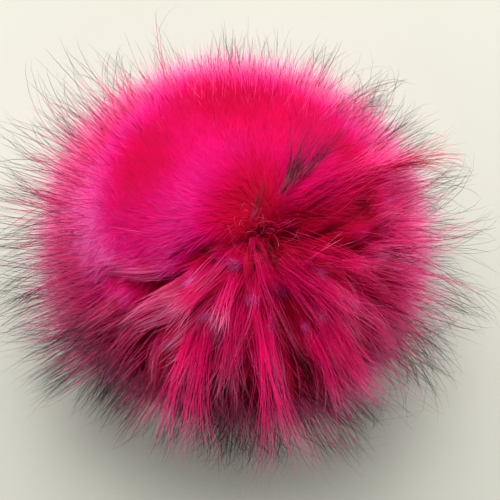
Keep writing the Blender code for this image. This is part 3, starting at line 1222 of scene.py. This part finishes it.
@dataclass
class PlacedTufts:
    """The single tufts and locks that catch the eye, each at its own place."""

    field: HairField
    fibre: Fibre
    points: int = 7
    width: float = 0.18 * MM
    root_spread: float = 0.7  # of a row's spread, that its roots are usually off the middle by
    tip_spread: float = 0.8  # millimetres that the tips are, beyond that
    gather: float = 0.6  # how near a tuft's tips come together
    seed: int = 91

    def build(self) -> list[bpy.types.Object]:
        """Builds and dresses the tufts of one fibre.

        Returns:
            Their one piece.
        """
        draw = np.random.default_rng(self.seed)
        rows = [row for row in PLACED_TUFTS if row[0] is self.fibre]
        batches = [self.tuft(draw, *row[1:]) for row in rows]
        paths = np.concatenate([paths for paths, _ in batches])
        tones = np.concatenate([tones for _, tones in batches])
        taper = 1 - 0.65 * np.linspace(0, 1, self.points - 1) ** 2
        widths = tapering(draw, self.width, (0.6, 1.25), taper, len(paths))
        name = f"{self.fibre.value}_tufts"
        mesh = strand_mesh(name, paths, widths, tones, Section.ROUND, self.field.ball.centre)
        return [dressed(mesh, TUFT_FINISHES[self.fibre].material())]

    def tuft(
        self,
        draw: np.random.Generator,
        root_x: float,
        root_y: float,
        tip_x: float,
        tip_y: float,
        reach: float,
        spread: float,
        hairs: int,
        tone: float,
    ) -> tuple[np.ndarray, np.ndarray]:
        """Grows one tuft.

        Args:
            draw: The source of its random values.
            root_x: The root's place, in millimetres, as in the table.
            root_y: The same.
            tip_x: The tip's place.
            tip_y: The same.
            reach: The tip's distance from the ball's middle.
            spread: How wide the roots spread.
            hairs: The number of hairs.
            tone: The middle of their tones.

        Returns:
            The hairs' lines and tones.
        """
        ball = self.field.ball
        root_level = np.array([root_x, root_y]) + draw.normal(0, spread, (hairs, 2)) * self.root_spread
        loose = (root_level - (root_x, root_y)) * (1 - self.gather)
        tip_level = np.array([tip_x, tip_y]) + loose + draw.normal(0, self.tip_spread, (hairs, 2))
        reaches = reach * draw.uniform(0.86, 1.03, hairs)
        roots = self.on_sphere(root_level, np.full(hairs, ball.radius / MM))
        tips = self.on_sphere(tip_level * (reaches / reach)[:, None], reaches)
        cosine = np.clip((roots * tips).sum(axis=1), -1, 1)
        strands = Hairs(
            roots=roots,
            way=unit(tips - roots * cosine[:, None]),
            inner=np.full(hairs, ball.radius * TUFT_ROOT_SHARES[self.fibre]),
            outer=reaches * MM,
            sweep=np.arccos(cosine),
            curl=draw.normal(0, 0.16, hairs) + draw.normal(0, 0.15),
            wave=draw.uniform(0, 0.8, hairs) * MM,
            swings=draw.uniform(0.6, 1.6, hairs),
            phase=draw.uniform(0, 6, hairs),
        )
        return self.field.paths(strands, self.points), tone + draw.uniform(0, 0.35, hairs)

    def on_sphere(self, level: np.ndarray, radius: np.ndarray) -> np.ndarray:
        """The directions of points on spheres about the middle that are seen at these places from above."""
        height = np.sqrt(np.maximum(radius**2 - (level**2).sum(axis=1), (0.05 * radius) ** 2))
        return unit(np.concatenate([level, height[:, None]], axis=1))


@dataclass
class RimFuzz:
    """The finest upright fibres at the sides, which blur the ball's edge. Their pale colour is painted
    light, for the light that comes through them.
    """

    field: HairField
    # Height of the root's direction, and how likely a fibre is there
    height_table: tuple[tuple[float, float], ...] = (
        (-0.8, 0.1),
        (-0.5, 0.8),
        (0.0, 1.0),
        (0.35, 0.28),
        (0.6, 0.03),
        (0.75, 0.0),
    )
    # Height of the root's direction, and what is left of a fibre's painted brightness there: paler, painted
    # light at the sides, deeper over the top
    painted_light_table: tuple[tuple[float, float], ...] = ((0.1, 1.0), (0.5, 0.0))
    hairs: int = 150000
    places_a_hair: int = 3  # drawn at random, of which the likeliest are kept
    root_shares: tuple[float, float] = (0.92, 0.96)  # of the radius between which they start
    tip_share: float = 0.985  # of the radius that the shortest reach
    past: float = 0.038  # how far past that they usually reach, as a share of the radius
    furthest: float = 0.18  # how far past it the longest do
    width: float = 0.16 * MM
    softness: float = 0.7
    seed: int = 71

    def build(self) -> list[bpy.types.Object]:
        """Builds and dresses the fuzz.

        Returns:
            Its one piece.
        """
        draw = np.random.default_rng(self.seed)
        field, radius, count = self.field, self.field.ball.radius, self.hairs
        candidates = scattered(draw, count * self.places_a_hair)
        weight = read_off(self.height_table, candidates[:, 2]) * (1 - 0.88 * field.locked(candidates))
        roots = candidates[picked(draw, weight, count)]
        past = draw.exponential(self.past, count).clip(0, self.furthest)
        hairs = field.lying(
            roots,
            inner=radius * draw.uniform(*self.root_shares, count),
            outer=radius * (self.tip_share + past),
            lean=draw.uniform(0.2, 1.2, count),
            turn=draw.normal(0, 1.0, count),
        )
        paths = field.paths(hairs, 2)
        widths = self.width * draw.uniform(0.7, 1.3, (count, 1))
        # Painted light: the fuzz is paler at the sides and deeper over the top.
        tones = draw.uniform(0.4, 1.0, count) * read_off(self.painted_light_table, roots[:, 2])
        centre = field.ball.centre
        mesh = strand_mesh("rim_fuzz", paths, widths, tones, Section.FLAT, centre, self.softness)
        return [dressed(mesh, DOWN_FINISH.material())]


@dataclass
class Studio:
    """The plain pale floor, the soft light and the camera."""

    ball: Ball
    floor_size: float = 3.0
    floor_colour: str = "#BCBCB1"
    floor_cloud: str = "#B6B7AC"
    cloud_size: float = 111.0 * MM
    sky_colour: str = "#F4F2EC"
    key_size: float = 1.7
    key_distance: float = 3.0
    key_elevation: float = 60.0
    key_azimuth: float = 95.0
    key_power: float = 106.0
    fill_azimuths: tuple[float, ...] = (142.0, 38.0)
    fill_elevation: float = 15.0
    fill_distance: float = 1.6
    fill_size: float = 1.0
    fill_power: float = 27.0
    sky_strength: float = 0.24
    diffuse_bounces: int = 8  # so that light reaches the roots of the fur
    bounces: int = 10
    camera_elevation: float = 84.0
    camera_distance: float = 0.46
    frame_width: float = 151.0 * MM  # what the photograph spans at the ball's widest level
    aim_x: float = 4.2 * MM
    aim_y: float = -1.2 * MM

    def build(self) -> None:
        """Builds the floor, the lights and the camera."""
        self.build_floor()
        self.build_lights()
        self.build_camera()
        self.set_view()

    def build_floor(self) -> None:
        """Lays a matt, pale painted floor with the faintest cloudiness."""
        bpy.ops.mesh.primitive_plane_add(size=self.floor_size)
        floor = bpy.context.object
        floor.name = "floor"
        material = bpy.data.materials.new("matt_painted_floor")
        material.use_nodes = True
        tree = material.node_tree
        shader = tree.nodes["Principled BSDF"]
        spot = add_node(tree, "ShaderNodeTexCoord")
        size = {"Vector": spot.outputs["Object"], "Scale": 1 / self.cloud_size, "Detail": 3.0}
        cloud = add_node(tree, "ShaderNodeTexNoise", size)
        stops = ((0.3, self.floor_cloud), (0.7, self.floor_colour))
        colour = add_node(tree, "ShaderNodeValToRGB", {0: cloud.outputs[0]}, stops=stops)
        tree.links.new(colour.outputs[0], shader.inputs["Base Color"])
        shader.inputs["Roughness"].default_value = 0.7
        floor.data.materials.append(material)

    def build_lights(self) -> None:
        """Hangs one large soft light over the far side, a weak one at each side, and a pale sky."""
        key = (self.key_elevation, self.key_distance, self.key_size, self.key_power)
        fill = (self.fill_elevation, self.fill_distance, self.fill_size, self.fill_power)
        self.hang("key_light", self.key_azimuth, *key)
        for i, azimuth in enumerate(self.fill_azimuths):
            self.hang(f"fill_light_{i + 1}", azimuth, *fill)
        world = bpy.data.worlds.new("studio")
        bpy.context.scene.world = world
        world.use_nodes = True
        background = world.node_tree.nodes["Background"]
        background.inputs["Color"].default_value = linear(self.sky_colour)
        background.inputs["Strength"].default_value = self.sky_strength

    def hang(
        self, name: str, azimuth: float, elevation: float, distance: float, size: float, power: float
    ) -> None:
        """Hangs one square soft light that faces the ball.

        Args:
            name: The light's name.
            azimuth: Its direction round the ball, in degrees.
            elevation: Its height over the table, in degrees.
            distance: How far it is from the ball's middle.
            size: The length of its side.
            power: Its power in watts.
        """
        turn, height = math.radians(azimuth), math.radians(elevation)
        level = math.cos(height)
        way = Vector((math.cos(turn) * level, math.sin(turn) * level, math.sin(height)))
        light = bpy.data.lights.new(name, "AREA")
        light.size = size
        light.energy = power
        lamp = bpy.data.objects.new(name, light)
        lamp.location = Vector(self.ball.centre) + way * distance
        lamp.rotation_euler = way.to_track_quat("Z", "Y").to_euler()
        bpy.context.scene.collection.objects.link(lamp)

    def build_camera(self) -> None:
        """Sets the camera almost straight above, as the photograph has it."""
        elevation = math.radians(self.camera_elevation)
        back = Vector((0, -math.cos(elevation), math.sin(elevation)))
        data = bpy.data.cameras.new("camera")
        data.angle = 2 * math.atan(self.frame_width / 2 / self.camera_distance)
        camera = bpy.data.objects.new("camera", data)
        target = Vector(self.ball.centre) + Vector((self.aim_x, self.aim_y, 0))
        camera.location = target + back * self.camera_distance
        camera.rotation_euler = back.to_track_quat("Z", "Y").to_euler()
        bpy.context.scene.collection.objects.link(camera)
        bpy.context.scene.camera = camera

    def set_view(self) -> None:
        """Keeps the dye's own colours in the picture, and lets light bounce deep into the fur."""
        scene = bpy.context.scene
        scene.view_settings.view_transform = "Standard"
        scene.cycles.diffuse_bounces = self.diffuse_bounces
        scene.cycles.max_bounces = self.bounces


def main() -> None:
    """Builds the pom pom piece by piece, then the studio round it."""
    logging.basicConfig(level=logging.INFO, format="%(message)s")
    ball = Ball.from_frame(NODE)
    field = HairField(ball)
    locks = Locks(field)
    coat = (
        FurCore(field),
        Underfur(field, locks),
        SilkLocks(field, locks),
        CrownCurls(field),
        GuardHair(field),
        PlacedTufts(field, Fibre.SILK),
        PlacedTufts(field, Fibre.GUARD),
        RimFuzz(field),
    )
    for part in coat:
        for piece in part.build():
            bpy.context.scene.collection.objects.link(piece)
            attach(piece, BODY)
            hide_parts(NODE)
            triangles = sum(len(face.vertices) - 2 for face in piece.data.polygons)
            LOG.info("%s: %d triangles", piece.name, triangles)
    Studio(ball).build()


if __name__ == "__main__":
    main()
